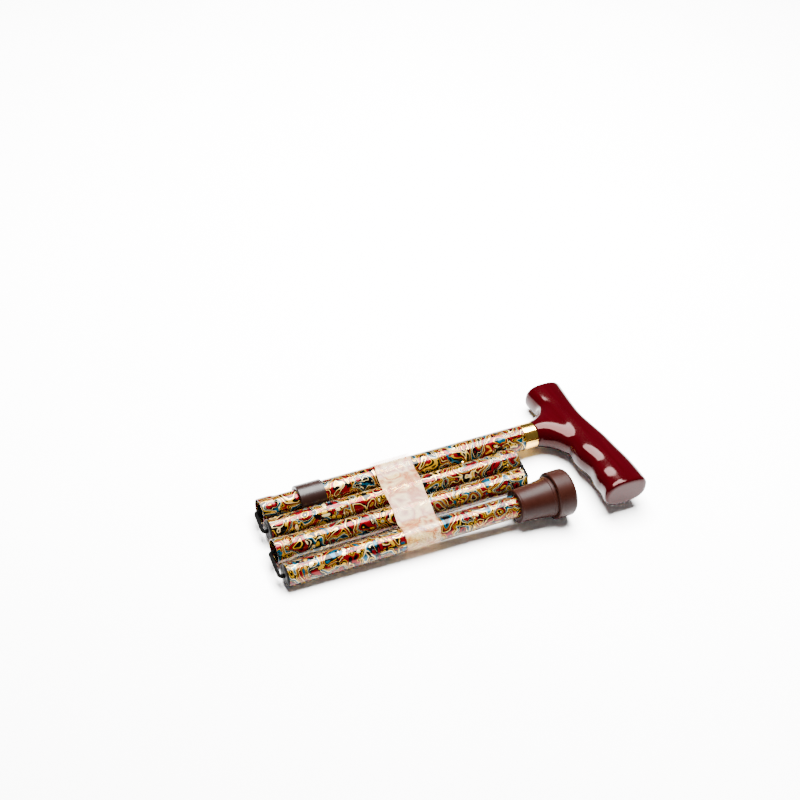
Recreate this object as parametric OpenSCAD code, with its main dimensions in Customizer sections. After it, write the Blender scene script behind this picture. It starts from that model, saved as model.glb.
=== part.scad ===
// Folding walking cane, folded flat: a wooden crutch handle, an adjustable upper tube with a snap
// button and a lock collar, and three belled tube sections strung on one elastic cord, held by a band.
// X runs along the tubes towards the handle, the folded tubes lie side by side towards -Y, Z is up.
// Lengths are in millimetres. "u" is the distance along X from the mouth of the inner tube.

/* [Folding tubes] */
// Outside diameter of the folding tubes
lower_d = 18; // [16:0.5:20]
// Wall of the folding tubes
lower_wall = 1.1; // [0.8:0.1:1.5]
// Length of each middle section, from its plain end to its bell mouth
section_len = 212; // [150:1:240]
// Length of the tip section, from its plain end to the sole of the ferrule
tip_len = 239; // [190:1:280]
// How far the folded second section stands out past the mouth of the inner tube
second_shift = 0.5; // [0:0.5:8]
// How far the folded third section stands out past the second
third_shift = 4.5; // [0:0.5:8]
// How far the folded tip section stands out past the third
tip_shift = 0.5; // [0:0.5:8]
// Gap between the lock collar, or the snap button, and the folded tube beside it
tube_gap = 0.7; // [0.3:0.1:2]

/* [Upper tube] */
// Wall of the upper tube
upper_wall = 1.2; // [0.8:0.1:1.6]
// Radial gap between the upper tube and the inner tube that slides in it
slide_gap = 0.3; // [0.2:0.05:0.5]
// Length of upper tube seen between the lock collar and the handle ring
upper_seen = 176; // [165:1:220]
// Length of inner tube seen between its mouth and the lock collar at the shortest setting
inner_seen = 31; // [22:1:60]

/* [Tube joints] */
// Radial gap between a tube end and the bell it is pushed into
bell_gap = 0.2; // [0.1:0.05:0.3]
// Wall of the bell
bell_wall = 0.8; // [0.6:0.1:1.2]
// Straight length of the bell
bell_len = 10; // [9:0.5:16]
// Length over which the bell flares out
flare_len = 5; // [3:0.5:9]
// Depth to which a tube end is pushed into the bell
insert_len = 6; // [5:0.5:9.5]
// Length of the guide plug's nose beyond the tube end
nose_len = 1.5; // [1:0.25:3]
// Length of the guide plug inside the tube
plug_len = 12; // [8:1:20]
// Straight run of cord out of a mouth or a nose before it bends
fold_gap = 0.75; // [0.5:0.05:1]

/* [Height setting] */
// Distance between two adjustment holes
hole_pitch = 16; // [12:0.5:16.5]
// Diameter of the snap button
button_d = 6; // [5:0.25:7]
// Height of the snap button above the upper tube
button_proud = 1.4; // [1:0.1:2.4]
// Distance from the handle ring to the middle of the snap button
ring_to_button = 58; // [50:1:62]

/* [Lock collar] */
// Length of the lock collar
collar_len = 21.5; // [17:0.5:26]
// Wall of the lock collar over its thread
collar_wall = 0.95; // [0.7:0.05:1.6]
// Height of the thread sleeve on the upper tube
thread_wall = 0.55; // [0.4:0.05:0.8]

/* [Handle] */
// Length of the front arm of the handle from the tube axis
front_arm = 88; // [80:1:100]
// Length of the back arm of the handle from the tube axis
back_arm = 43; // [36:1:50]
// Thickness of the handle
handle_t = 25; // [23:0.5:30]
// Height of the front arm's top above the handle ring
front_top = 57; // [54:0.2:62]
// Height of the back arm's top above the handle ring
back_top = 49; // [46:0.5:54]
// Height of the saddle between the arms above the handle ring
saddle_top = 46.5; // [44:0.5:50]
// Height of the arms' underside above the handle ring
arm_under = 18; // [16:0.5:22]
// Length of the handle ring
ring_len = 11.5; // [8:0.5:15]
// Wall of the handle ring
ring_wall = 1.6; // [1.2:0.05:2]

/* [Ferrule] */
// Length of the ferrule
ferrule_len = 47; // [40:1:52]
// Outside diameter of the ferrule at its sole
ferrule_d = 38; // [35:0.5:42]
// Outside diameter of the ferrule just above its flange
ferrule_step_d = 32.5; // [30:0.5:34]
// Outside diameter of the ferrule at its rim
ferrule_rim_d = 27; // [24:0.5:29]
// Length of the flange at the sole
flange_len = 15.5; // [10:0.5:18]
// Thickness of rubber under the tube
sole_t = 10; // [7:0.5:14]

/* [Cord and band] */
// Diameter of the elastic cord
cord_d = 3; // [2.5:0.25:4]
// Bend radius of the cord where it leaves one folded tube and enters the next
loop_bend = 2.5; // [2:0.25:4]
// Width of the holding band
band_len = 32; // [25:1:45]
// Thickness of the holding band
band_wall = 0.8; // [0.5:0.1:1.5]
// Distance of the holding band from the mouth of the inner tube
band_at = 92; // [70:1:110]

/* [Hidden] */
$fn = 96;

// Clearances between pieces
seat_gap = 0.05;
run_gap = 0.1;
body_gap = 0.3;
button_gap = 0.15;
ferrule_clear = 3;

// Radii that follow from the driving sizes
lower_r = lower_d / 2;
lower_bore = lower_r - lower_wall;
upper_bore = lower_r + slide_gap;
upper_r = upper_bore + upper_wall;
bell_bore = lower_r + bell_gap;
bell_r = bell_bore + bell_wall;
sleeve_r = upper_r + thread_wall;
collar_bore = sleeve_r + seat_gap;
collar_r = collar_bore + collar_wall;
ring_r = upper_bore + ring_wall;
cord_r = cord_d / 2;
cord_hole = cord_r + 0.4;
button_r = button_d / 2;

// Lengths of what lies inside the tubes
inner_past_button = 14;
spigot_in_tube = 34;
spigot_in_handle = 26;
screw_below_saddle = 8;
guide_shank = 8;
guide_flange = 2;
anchor_to_button = 60;
stop_to_sole = 70;
stub_past_nose = 1;

// Places along the tubes. The upper tube is longer where the ferrule would meet the handle's arm
second_u = -second_shift;
second_end = second_u + section_len;
third_u = second_u - third_shift;
third_end = third_u + section_len;
tip_u = third_u - tip_shift;
sole_u = tip_u + tip_len;
flange_u = sole_u - flange_len;
rim_u = sole_u - ferrule_len;
collar_u = inner_seen;
collar_end = collar_u + collar_len;
ring_u = max(collar_end + upper_seen, sole_u + ferrule_clear - arm_under - ring_len);
neck_u = ring_u + ring_len;
button_u = ring_u - ring_to_button;
inner_top = button_u + inner_past_button;
hole_count = 7;
stub_len = insert_len + nose_len + stub_past_nose;

// The upper tube ends inside the collar, against the compression ring
collar_floor = 2;
collar_lip = 1.5;
upper_start = collar_u + collar_len / 2;

// Spacing of the folded tubes: the collar clears the tube beside it, and so does the ferrule, also
// when the tip section is drawn in along it by push_len
pitch = max(collar_r, upper_r + button_proud) + lower_r + tube_gap;
push_len = nose_len + 2 * fold_gap + insert_len;
beside_u = third_end + nose_len + push_len;
taper = (ferrule_step_d - ferrule_rim_d) / 2 / (flange_u - rim_u);
beside_r = beside_u + body_gap > flange_u ? ferrule_d / 2
    : beside_u + body_gap > rim_u ? ferrule_rim_d / 2 + taper * (beside_u - rim_u) : 0;
tip_pitch = max(pitch, lower_r + beside_r + seat_gap);
tube_at = [0, pitch, 2 * pitch, 2 * pitch + tip_pitch];

// Line of the cord in the fold after tube t: out of the mouth at x = 0, across and into the next tube's
// nose, which stands out past the mouth by reach
turn_steps = 6;
turn_angles = [for (i = [0 : turn_steps]) 90 * i / turn_steps];
function half_gap(t) = (tube_at[t + 1] - tube_at[t]) / 2;
function bend(g) = [fold_gap + loop_bend * sin(g), loop_bend * (1 - cos(g))];
function cord_turn(half) = concat([for (g = turn_angles) [bend(g)[0], half - bend(g)[1]]],
                                  [for (g = turn_angles) [bend(90 - g)[0], bend(90 - g)[1] - half]]);
function cord_line(t, reach) = let (half = half_gap(t))
    concat([[-stub_len, half]],
           [for (p = cord_turn(half)) [p[0] + reach * (half - p[1]) / (2 * half), p[1]]],
           [[reach - nose_len, -half]]);
function cord_side(line, i) = let (last = len(line) - 1, d = line[min(i + 1, last)] - line[max(i - 1, 0)])
    i == 0 ? [0, 1] : i == last ? [0, -1] : [-d[1], d[0]] / norm(d);
function cord_out(line) = max([for (i = [0 : len(line) - 1]) line[i][0] + cord_r * cord_side(line, i)[0]]);
reach_1 = nose_len + second_shift;
reach_2 = nose_len - third_shift;
reach_3 = nose_len + tip_shift;

// The part stands with its middle over the origin
u_low = min(-cord_out(cord_line(0, reach_1)), third_u - cord_out(cord_line(2, reach_3)));
u_high = neck_u + front_top;
y_low = -max(front_arm, tube_at[3] + ferrule_d / 2);
y_high = back_arm;
x_origin = (u_low + u_high) / 2;
y_origin = (y_low + y_high) / 2;
axis_z = max(ferrule_d / 2, collar_r, handle_t / 2);

// Colours
wood_red = [0.42, 0.03, 0.06];
gold = [0.85, 0.62, 0.2];
print_tone = [0.55, 0.3, 0.2];
brown_plastic = [0.25, 0.16, 0.14];
black_plastic = [0.06, 0.06, 0.06];
steel = [0.7, 0.7, 0.72];
brown_rubber = [0.3, 0.17, 0.14];
nylon = [0.85, 0.83, 0.78];
frosted = [0.92, 0.88, 0.86, 0.6];

// Local +Z of the children runs along +X from the place u on folded tube number t, counted from 0
module along(u, t) {
    translate([u - x_origin, -tube_at[t] - y_origin, axis_z])
    rotate([0, 90, 0])
    children();
}

// As along, but local +Z runs along -X
module against(u, t) {
    translate([u - x_origin, -tube_at[t] - y_origin, axis_z])
    rotate([0, -90, 0])
    children();
}

// Local +Z of the children runs along -Y from the axis of the upper tube at u
module towards_front(u) {
    translate([u - x_origin, -y_origin, axis_z])
    rotate([90, 0, 0])
    children();
}

module pipe(outer, inner, len) {
    difference() {
        cylinder(r = outer, h = len);
        translate([0, 0, -1])
        cylinder(r = inner, h = len + 2);
    }
}

// Tube with a plain end at z = 0 and a bell mouth at z = len
module belled_tube(len) {
    flare_z = len - bell_len - flare_len;
    bell_z = len - bell_len;
    rotate_extrude()
    polygon([[lower_bore, 0], [lower_r, 0], [lower_r, flare_z], [bell_r, bell_z], [bell_r, len],
             [bell_bore, len], [bell_bore, bell_z], [lower_bore, flare_z]]);
}

// Guide plug with its nose towards -Z and its shank inside the tube towards +Z
module guide_plug() {
    shoulder_r = lower_r - body_gap;
    tip_r = shoulder_r - nose_len;
    color(black_plastic)
    rotate_extrude()
    polygon([[cord_hole, -nose_len], [tip_r, -nose_len], [shoulder_r, -nose_len / 3], [shoulder_r, 0],
             [lower_bore - seat_gap, 0], [lower_bore - seat_gap, plug_len], [cord_hole, plug_len]]);
}

module cord_run(len) {
    color(black_plastic)
    cylinder(r = cord_r, h = len);
}

// Smooth curve through points [x, y], read at x
function slope(p, i) = let (a = max(i - 1, 0), b = min(i + 1, len(p) - 1))
    (p[b][1] - p[a][1]) / (p[b][0] - p[a][0]);
function span(p, x) = max([for (i = [0 : len(p) - 2]) if (p[i][0] <= x || i == 0) i]);
function curve(p, x) = let (i = span(p, x), w = p[i + 1][0] - p[i][0], t = (x - p[i][0]) / w)
    p[i][1] * (1 + 2 * t) * pow(1 - t, 2) + p[i + 1][1] * t * t * (3 - 2 * t)
    + w * (slope(p, i) * t * pow(1 - t, 2) - slope(p, i + 1) * t * t * (1 - t));

// Rounded section: half sizes a and b, bluntness n, turned to angle g
function blunt(c, n) = sign(c) * pow(abs(c), 2 / n);
function oval(a, b, n, g) = [a * blunt(cos(g), n), b * blunt(sin(g), n)];

// Solid skin over a list of rings that each hold the same number of points
module loft(rings) {
    sides = len(rings[0]);
    last = len(rings) - 1;
    points = [for (ring = rings) each ring];
    walls = [for (i = [0 : last - 1], j = [0 : sides - 1])
        let (a = i * sides + j, b = i * sides + (j + 1) % sides)
        each [[a, b, a + sides], [b, b + sides, a + sides]]];
    first_cap = [for (j = [sides - 1 : -1 : 0]) j];
    last_cap = [for (j = [0 : sides - 1]) last * sides + j];
    polyhedron(points, concat(walls, [first_cap, last_cap]), convexity = 6);
}

// Handle outline: height above the ring along the arms, front arm positive
handle_sides = 32;
arm_rings = 36;
top_line = [[-back_arm, back_top], [-0.62 * back_arm, saddle_top + 1.2], [-0.3 * back_arm, saddle_top + 0.2],
            [0, saddle_top], [0.15 * front_arm, saddle_top + 2.4], [0.34 * front_arm, saddle_top + 6.2],
            [0.55 * front_arm, front_top - 2.2], [0.76 * front_arm, front_top - 0.2], [front_arm, front_top]];
under_line = [[-back_arm, arm_under - 2.6], [-0.6 * back_arm, arm_under - 0.8], [0, arm_under + 4],
              [0.32 * front_arm, arm_under + 1.4], [0.45 * front_arm, arm_under + 0.6],
              [0.63 * front_arm, arm_under + 4], [0.77 * front_arm, arm_under + 2.2],
              [0.87 * front_arm, arm_under + 2.4], [front_arm, arm_under]];
// Reach of the neck towards each arm against height above the ring
neck_top = arm_under + 10;
neck_line = [[0, ring_r - 0.1], [0.18 * arm_under, ring_r + 0.6], [0.5 * arm_under, ring_r + 3.8],
             [0.82 * arm_under, ring_r + 9.3], [arm_under + 1.5, ring_r + 16.5], [neck_top, ring_r + 20]];
neck_t_line = [[0, ring_r - 0.1], [0.5 * arm_under, ring_r + 1.2], [neck_top, handle_t / 2 - 0.6]];
end_round = 2.5;
function end_scale(d) = d >= end_round ? 1 : 1 - 0.09 * pow(1 - d / end_round, 2);
arm_stops = concat(
    [-back_arm, 0.5 - back_arm, 1.3 - back_arm],
    [for (i = [0 : arm_rings]) end_round - back_arm + i * (front_arm + back_arm - 2 * end_round) / arm_rings],
    [front_arm - 1.3, front_arm - 0.5, front_arm]);
arm_bluntness = 2.6;

module handle_arms() {
    loft([for (s = arm_stops)
        let (high = curve(top_line, s), low = curve(under_line, s),
             k = end_scale(min(s + back_arm, front_arm - s)))
        [for (j = [0 : handle_sides - 1])
            let (p = oval((high - low) / 2, handle_t / 2, arm_bluntness, -360 * j / handle_sides))
            [(high + low) / 2 + k * p[0], -s, k * p[1]]]]);
}

module handle_neck() {
    neck_rings = 14;
    loft([for (i = [0 : neck_rings])
        let (q = neck_top * i / neck_rings, reach = curve(neck_line, q), half_t = curve(neck_t_line, q))
        [for (j = [0 : handle_sides - 1])
            let (p = oval(half_t, reach, 2 + 0.5 * i / neck_rings, 360 * j / handle_sides))
            [q, p[1], p[0]]]]);
}

spigot_low = ring_u - spigot_in_tube;
spigot_high = neck_u + spigot_in_handle;
screw_head_r = 4.5;
screw_head_h = 3;
screw_r = 2.5;
screw_high = neck_u + saddle_top - screw_below_saddle;

module handle() {
    color(wood_red)
    difference() {
        translate([neck_u - x_origin, -y_origin, axis_z])
        union() {
            handle_arms();
            handle_neck();
        }
        along(neck_u - 1, 0)
        cylinder(r = upper_bore, h = spigot_high - neck_u + 1 + seat_gap);
        along(neck_u, 0)
        cylinder(r = screw_r + seat_gap, h = screw_high - neck_u + seat_gap);
    }
}

module handle_spigot() {
    color(nylon)
    along(spigot_low, 0)
    difference() {
        cylinder(r = upper_bore - seat_gap, h = spigot_high - spigot_low);
        translate([0, 0, -1])
        cylinder(r = screw_r + seat_gap, h = spigot_high - spigot_low + 2);
        translate([0, 0, -1])
        cylinder(r = screw_head_r + seat_gap, h = screw_head_h + 1);
    }
}

module spigot_screw() {
    color(steel)
    along(spigot_low, 0)
    difference() {
        union() {
            cylinder(r = screw_head_r, h = screw_head_h);
            cylinder(r = screw_r, h = screw_high - spigot_low);
        }
        translate([0, 0, -1])
        cylinder(r = screw_r, h = 2.6, $fn = 6);
    }
}

module handle_ring() {
    edge = 0.5;
    color(gold)
    along(ring_u, 0)
    rotate_extrude()
    polygon([[upper_bore, 0], [ring_r - edge, 0], [ring_r, edge], [ring_r, ring_len - edge],
             [ring_r - edge, ring_len], [upper_bore, ring_len]]);
}

module upper_tube() {
    color(print_tone)
    difference() {
        along(upper_start, 0)
        pipe(upper_r, upper_bore, ring_u - upper_start);
        for (i = [0 : hole_count - 1])
            towards_front(button_u - i * hole_pitch)
            cylinder(r = button_r + button_gap, h = upper_r + 1);
    }
}

module thread_sleeve() {
    color(nylon)
    along(upper_start + 0.5, 0)
    pipe(sleeve_r, upper_r, collar_end - collar_lip - upper_start - 1);
}

// Split ring that the collar squeezes on to the inner tube
module compression_ring() {
    split = 2;
    ring_start = collar_u + collar_floor + run_gap;
    ring_h = upper_start - ring_start;
    color(nylon)
    along(ring_start, 0)
    difference() {
        rotate_extrude()
        polygon([[lower_r + run_gap, 0], [sleeve_r - 1, 0], [sleeve_r - body_gap, 2],
                 [sleeve_r - body_gap, ring_h], [lower_r + run_gap, ring_h]]);
        translate([-split / 2, 0, -1])
        cube([split, collar_r, ring_h + 2]);
    }
}

module lock_collar() {
    edge = 1.2;
    throat = lower_r + 0.25;
    lip = upper_r + 0.25;
    color(brown_plastic)
    along(collar_u, 0)
    rotate_extrude()
    polygon([[throat, 0], [collar_r - edge, 0], [collar_r - 0.3, 0.4], [collar_r, edge],
             [collar_r, collar_len - edge], [collar_r - 0.3, collar_len - 0.4],
             [collar_r - edge, collar_len], [lip, collar_len], [lip, collar_len - collar_lip],
             [collar_bore, collar_len - collar_lip], [collar_bore, collar_floor], [throat, collar_floor]]);
}

module inner_tube() {
    color(print_tone)
    difference() {
        against(inner_top, 0)
        belled_tube(inner_top);
        towards_front(button_u)
        cylinder(r = button_r + button_gap, h = upper_r + 1);
    }
}

module slide_guide() {
    color(nylon)
    along(inner_top - guide_shank, 0)
    union() {
        cylinder(r = lower_bore - seat_gap, h = guide_shank);
        translate([0, 0, guide_shank])
        cylinder(r = upper_bore - run_gap, h = guide_flange);
    }
}

// Depths of the snap button along its own axis, from the tube axis
flange_r = button_r + 1;
flange_top = sqrt(pow(lower_bore, 2) - pow(flange_r, 2)) - 0.4;
flange_h = 1;
button_tip = upper_r + button_proud;

module snap_button() {
    color(gold)
    towards_front(button_u)
    rotate_extrude()
    polygon([[0, flange_top - flange_h], [flange_r, flange_top - flange_h], [flange_r, flange_top],
             [button_r, flange_top], [button_r, button_tip - 1], [button_r - 0.25, button_tip - 0.55],
             [button_r - 0.9, button_tip - 0.15], [button_r - 1.8, button_tip], [0, button_tip]]);
}

// Bent leaf spring: one leg under the button, the other on the far wall of the inner tube
module button_spring() {
    leaf = 0.6;
    leaf_w = 5;
    leg = 24;
    near_y = -(flange_top - flange_h - run_gap);
    far_y = sqrt(pow(lower_bore, 2) - pow(leaf_w / 2, 2)) - 0.2;
    tip_x = button_u + button_r;
    bend_x = button_u - leg;
    color(steel)
    translate([-x_origin, -y_origin, axis_z])
    linear_extrude(height = leaf_w, center = true)
    polygon([[tip_x, near_y], [button_u - button_r, near_y], [bend_x + 3, 0.3], [bend_x, 1.6],
             [bend_x + 3, 2.9], [tip_x, far_y], [tip_x, far_y - leaf], [bend_x + 3.4, 2.9 - leaf],
             [bend_x + 2.4, 1.6], [bend_x + 3.4, 0.3 + leaf], [button_u - button_r, near_y + leaf],
             [tip_x, near_y + leaf]]);
}

anchor_u = button_u - anchor_to_button;
anchor_len = 12;

module cord_anchor() {
    color(black_plastic)
    along(anchor_u, 0)
    union() {
        cylinder(r = lower_bore - seat_gap, h = anchor_len);
        translate([0, 0, anchor_len])
        cylinder(r1 = lower_bore - 1.5, r2 = cord_r, h = 3);
    }
}

module cord_in_slider() {
    along(stub_len, 0)
    cord_run(anchor_u - stub_len);
}

// Elastic cord in the fold after tube t; out is the way along X in which the fold lies
module cord_loop(t, mouth_u, reach, out) {
    cord_sides = 8;
    line = cord_line(t, reach);
    color(black_plastic)
    translate([mouth_u - x_origin, -tube_at[t] - half_gap(t) - y_origin, axis_z])
    loft([for (i = [0 : len(line) - 1])
        let (n = cord_side(line, i))
        [for (j = [0 : cord_sides - 1]) let (g = 360 * j / cord_sides)
            [out * (line[i][0] + cord_r * n[0] * cos(g)), line[i][1] + cord_r * n[1] * cos(g),
             -out * cord_r * sin(g)]]]);
}

module cord_loop_1() { cord_loop(0, 0, reach_1, -1); }

module cord_loop_2() { cord_loop(1, second_end, reach_2, 1); }

module cord_loop_3() { cord_loop(2, third_u, reach_3, -1); }

module tube_2() {
    color(print_tone)
    along(second_u, 1)
    belled_tube(section_len);
}

module guide_plug_2() {
    along(second_u, 1)
    guide_plug();
}

module cord_in_2() {
    along(second_u, 1)
    cord_run(section_len - stub_len);
}

module tube_3() {
    color(print_tone)
    against(third_end, 2)
    belled_tube(section_len);
}

module guide_plug_3() {
    against(third_end, 2)
    guide_plug();
}

module cord_in_3() {
    against(third_end, 2)
    cord_run(section_len - stub_len);
}

washer_t = 1.5;
tube_4_len = tip_len - sole_t - washer_t;

module tube_4() {
    color(print_tone)
    along(tip_u, 3)
    pipe(lower_r, lower_bore, tube_4_len);
}

module guide_plug_4() {
    along(tip_u, 3)
    guide_plug();
}

stop_u = sole_u - stop_to_sole;
stop_len = 8;

module cord_in_4() {
    along(tip_u, 3)
    cord_run(stop_u - tip_u);
}

module cord_stop() {
    color(black_plastic)
    along(stop_u, 3)
    cylinder(r = lower_bore - seat_gap, h = stop_len);
}

module ferrule() {
    step_z = ferrule_len - flange_len;
    step_r = ferrule_step_d / 2;
    rim_r = ferrule_rim_d / 2;
    base_r = ferrule_d / 2;
    bore = lower_r + seat_gap;
    edge = 0.8;
    sole_edge = 1.6;
    groove_w = 1.2;
    color(brown_rubber)
    along(sole_u - ferrule_len, 3)
    difference() {
        rotate_extrude()
        polygon([[bore, 0], [rim_r - edge, 0], [rim_r, edge], [step_r, step_z], [base_r - edge, step_z],
                 [base_r, step_z + edge], [base_r, ferrule_len - sole_edge],
                 [base_r - sole_edge, ferrule_len], [0, ferrule_len], [0, ferrule_len - sole_t],
                 [bore, ferrule_len - sole_t]]);
        for (r = [0.4, 0.66])
            translate([0, 0, ferrule_len - groove_w])
            pipe(r * base_r + groove_w, r * base_r, 2 * groove_w);
    }
}

module ferrule_washer() {
    color(steel)
    along(sole_u - sole_t - washer_t, 3)
    cylinder(r = lower_r - seat_gap, h = washer_t);
}

// Loop of soft sheet round the four tubes, tangent to the first and the last
module band_outline(grow) {
    near_r = upper_r + body_gap + grow;
    far_r = lower_r + body_gap + grow;
    far = tube_at[3];
    tilt = asin((near_r - far_r) / far);
    union() {
        circle(r = near_r);
        translate([0, -far])
        circle(r = far_r);
        polygon([[near_r * cos(tilt), -near_r * sin(tilt)], [-near_r * cos(tilt), -near_r * sin(tilt)],
                 [-far_r * cos(tilt), -far - far_r * sin(tilt)], [far_r * cos(tilt), -far - far_r * sin(tilt)]]);
    }
}

module holder_band() {
    color(frosted)
    along(band_at, 0)
    linear_extrude(height = band_len)
    difference() {
        band_outline(band_wall);
        band_outline(0);
    }
}

handle();
handle_spigot();
spigot_screw();
handle_ring();
upper_tube();
thread_sleeve();
compression_ring();
lock_collar();
inner_tube();
slide_guide();
button_spring();
cord_anchor();
cord_in_slider();
snap_button();
cord_loop_1();
cord_loop_2();
cord_loop_3();
tube_2();
guide_plug_2();
cord_in_2();
tube_3();
guide_plug_3();
cord_in_3();
tube_4();
guide_plug_4();
cord_in_4();
cord_stop();
ferrule();
ferrule_washer();
holder_band();
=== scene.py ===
import math

import bmesh
import bpy
import numpy as np
from mathutils import Matrix, Vector


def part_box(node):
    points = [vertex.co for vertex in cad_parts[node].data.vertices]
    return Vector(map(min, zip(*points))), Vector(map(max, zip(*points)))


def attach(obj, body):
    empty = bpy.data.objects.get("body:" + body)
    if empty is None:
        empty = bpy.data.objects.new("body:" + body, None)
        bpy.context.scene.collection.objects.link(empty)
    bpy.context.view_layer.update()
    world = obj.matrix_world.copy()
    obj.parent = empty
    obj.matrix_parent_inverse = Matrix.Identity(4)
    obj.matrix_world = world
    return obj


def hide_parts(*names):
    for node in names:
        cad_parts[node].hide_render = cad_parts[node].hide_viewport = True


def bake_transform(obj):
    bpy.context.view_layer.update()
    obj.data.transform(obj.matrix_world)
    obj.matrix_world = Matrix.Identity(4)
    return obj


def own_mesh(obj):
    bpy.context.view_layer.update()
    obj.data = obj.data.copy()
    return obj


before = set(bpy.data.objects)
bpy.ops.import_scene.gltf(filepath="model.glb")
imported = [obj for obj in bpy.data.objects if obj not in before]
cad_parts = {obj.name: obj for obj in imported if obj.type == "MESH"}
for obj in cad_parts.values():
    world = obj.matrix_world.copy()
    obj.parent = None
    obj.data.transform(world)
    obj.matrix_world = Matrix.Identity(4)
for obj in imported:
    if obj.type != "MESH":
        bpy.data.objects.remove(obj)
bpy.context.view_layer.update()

MM = 0.001
SCENE = bpy.context.scene

# Camera, measured from the mouth of the inner tube: where it stands, what the middle of the picture
# looks at, and its roll in degrees
CAMERA_AT = (-0.2898, -0.7721, 0.8343)
LOOK_AT = (0.1562, 0.0790, 0.0)
CAMERA_ROLL = 4.18
SENSOR_WIDTH = 36.0
LENS = 68.18


# Meshes

def mesh_object(name, verts, faces):
    """A smooth-shaded mesh object with its faces turned outwards."""
    mesh = bpy.data.meshes.new(name)
    mesh.from_pydata([tuple(v) for v in verts], [], faces)
    work = bmesh.new()
    work.from_mesh(mesh)
    bmesh.ops.recalc_face_normals(work, faces=work.faces)
    work.to_mesh(mesh)
    work.free()
    mesh.shade_smooth()
    obj = bpy.data.objects.new(name, mesh)
    SCENE.collection.objects.link(obj)
    return obj


def grid_faces(rows, sides, ring):
    """Quads between rows of points that each go round once."""
    faces = []
    for i in range(rows if ring else rows - 1):
        j = (i + 1) % rows
        for k in range(sides):
            n = (k + 1) % sides
            faces.append((i * sides + k, i * sides + n, j * sides + n, j * sides + k))
    return faces


def capped_faces(rows, sides):
    """Quads between rows of points, with a face over each end."""
    faces = grid_faces(rows, sides, False)
    faces.append(tuple(range(sides)))
    faces.append(tuple(range((rows - 1) * sides, rows * sides)))
    return faces


CORNER_SHARE = 0.45


def rounded(points, radius, steps):
    """The points of a closed outline with each corner turned into a small curve."""
    out = []
    count = len(points)
    for i, point in enumerate(points):
        before = Vector(points[i - 1])
        corner = Vector(point)
        after = Vector(points[(i + 1) % count])
        cut = min(radius, CORNER_SHARE * (before - corner).length, CORNER_SHARE * (after - corner).length)
        start = corner + (before - corner).normalized() * cut
        end = corner + (after - corner).normalized() * cut
        for k in range(steps + 1):
            t = k / steps
            curve = start.lerp(corner, t).lerp(corner.lerp(end, t), t)
            out.append((curve.x, curve.y))
    return out


def lathe(name, outline, centre, sides):
    """A turned hollow piece along X. outline holds (x, radius) pairs, centre is the middle line's (y, z)."""
    verts = []
    for x, radius in outline:
        for k in range(sides):
            turn = 2 * math.pi * k / sides
            verts.append((x, centre[0] + radius * math.cos(turn), centre[1] + radius * math.sin(turn)))
    return mesh_object(name, verts, grid_faces(len(outline), sides, True))


def sharpen(obj, degrees):
    """Marks the edges that turn by more than this as sharp."""
    obj.data.set_sharp_from_angle(angle=math.radians(degrees))


def finished(obj):
    """The object with its modifiers applied to its mesh."""
    bpy.context.view_layer.update()
    graph = bpy.context.evaluated_depsgraph_get()
    mesh = bpy.data.meshes.new_from_object(obj.evaluated_get(graph))
    obj.modifiers.clear()
    obj.data = mesh
    return obj


FACE_WEIGHT = 100


def even_shading(obj):
    """Shades long faces as they are, and leaves the turn to the small faces at their edges."""
    weigh = obj.modifiers.new("even", "WEIGHTED_NORMAL")
    weigh.mode = "FACE_AREA"
    weigh.weight = FACE_WEIGHT
    weigh.keep_sharp = True
    return finished(obj)


DRILL_SIDES = 48


def drill(obj, centre, direction, radius, depth):
    """A round hole into obj from centre along direction."""
    cutter_mesh = bpy.data.meshes.new("cutter")
    work = bmesh.new()
    bmesh.ops.create_cone(work, cap_ends=True, segments=DRILL_SIDES, radius1=radius, radius2=radius,
                          depth=depth)
    turn = Vector((0, 0, 1)).rotation_difference(Vector(direction)).to_matrix().to_4x4()
    middle = Vector(centre) + Vector(direction) * depth / 2
    bmesh.ops.transform(work, matrix=Matrix.Translation(middle) @ turn, verts=work.verts)
    work.to_mesh(cutter_mesh)
    work.free()
    cutter = bpy.data.objects.new("cutter", cutter_mesh)
    SCENE.collection.objects.link(cutter)
    cut = obj.modifiers.new("hole", "BOOLEAN")
    cut.operation = "DIFFERENCE"
    cut.solver = "EXACT"
    cut.object = cutter
    finished(obj)
    bpy.data.objects.remove(cutter)
    return obj


def soften(obj, rounds, weight_of):
    """Evens out a mesh: each round moves a vertex towards its neighbours by its own weight."""
    mesh = obj.data
    count = len(mesh.vertices)
    points = np.empty(count * 3)
    mesh.vertices.foreach_get("co", points)
    points = points.reshape(count, 3)
    ends = np.empty(len(mesh.edges) * 2, dtype=np.int64)
    mesh.edges.foreach_get("vertices", ends)
    a, b = ends.reshape(-1, 2).T
    degree = np.bincount(np.concatenate((a, b)), minlength=count).astype(float)[:, None]
    weight = weight_of(points)[:, None]
    for _ in range(rounds):
        total = np.zeros_like(points)
        np.add.at(total, a, points[b])
        np.add.at(total, b, points[a])
        points = points + weight * (total / np.maximum(degree, 1) - points)
    mesh.vertices.foreach_set("co", points.ravel())
    mesh.update()


# Materials

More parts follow.
